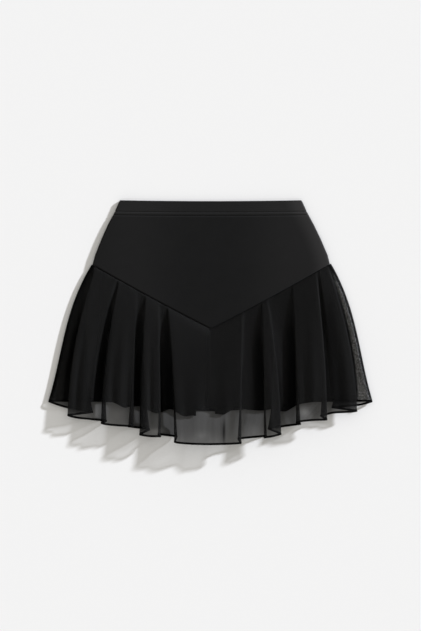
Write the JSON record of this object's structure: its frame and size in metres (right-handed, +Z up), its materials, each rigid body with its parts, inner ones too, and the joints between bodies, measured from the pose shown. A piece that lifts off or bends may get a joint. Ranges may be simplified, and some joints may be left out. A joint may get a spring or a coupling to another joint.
{
  "type": "skort",
  "caption": "Women's skort laid flat, front up: elastic waistband, smooth V-shaped yoke, sheer fluted flounce and short inner shorts.",
  "frame": {"origin": "on the surface that the garment lies on, under the middle of its outline", "axes": "+X to the right of the garment seen from the front and above, +Y from the hem to the waist, +Z up from the surface, out of the front"},
  "size_m": [0.5407, 0.406, 0.0255],
  "materials": {
    "elastic_band": "matte black stretch jersey over elastic, topstitched",
    "jersey": "matte black knitted jersey",
    "chiffon": "sheer black chiffon with a narrow rolled hem",
    "shorts_jersey": "matte black light jersey"
  },
  "bodies": {
    "root": {"waistband": "elastic_band", "yoke_front": "jersey", "yoke_back": "jersey", "skirt_front": "chiffon", "skirt_back": "chiffon", "shorts_left": "shorts_jersey", "shorts_right": "shorts_jersey"}
  },
  "joints": []
}
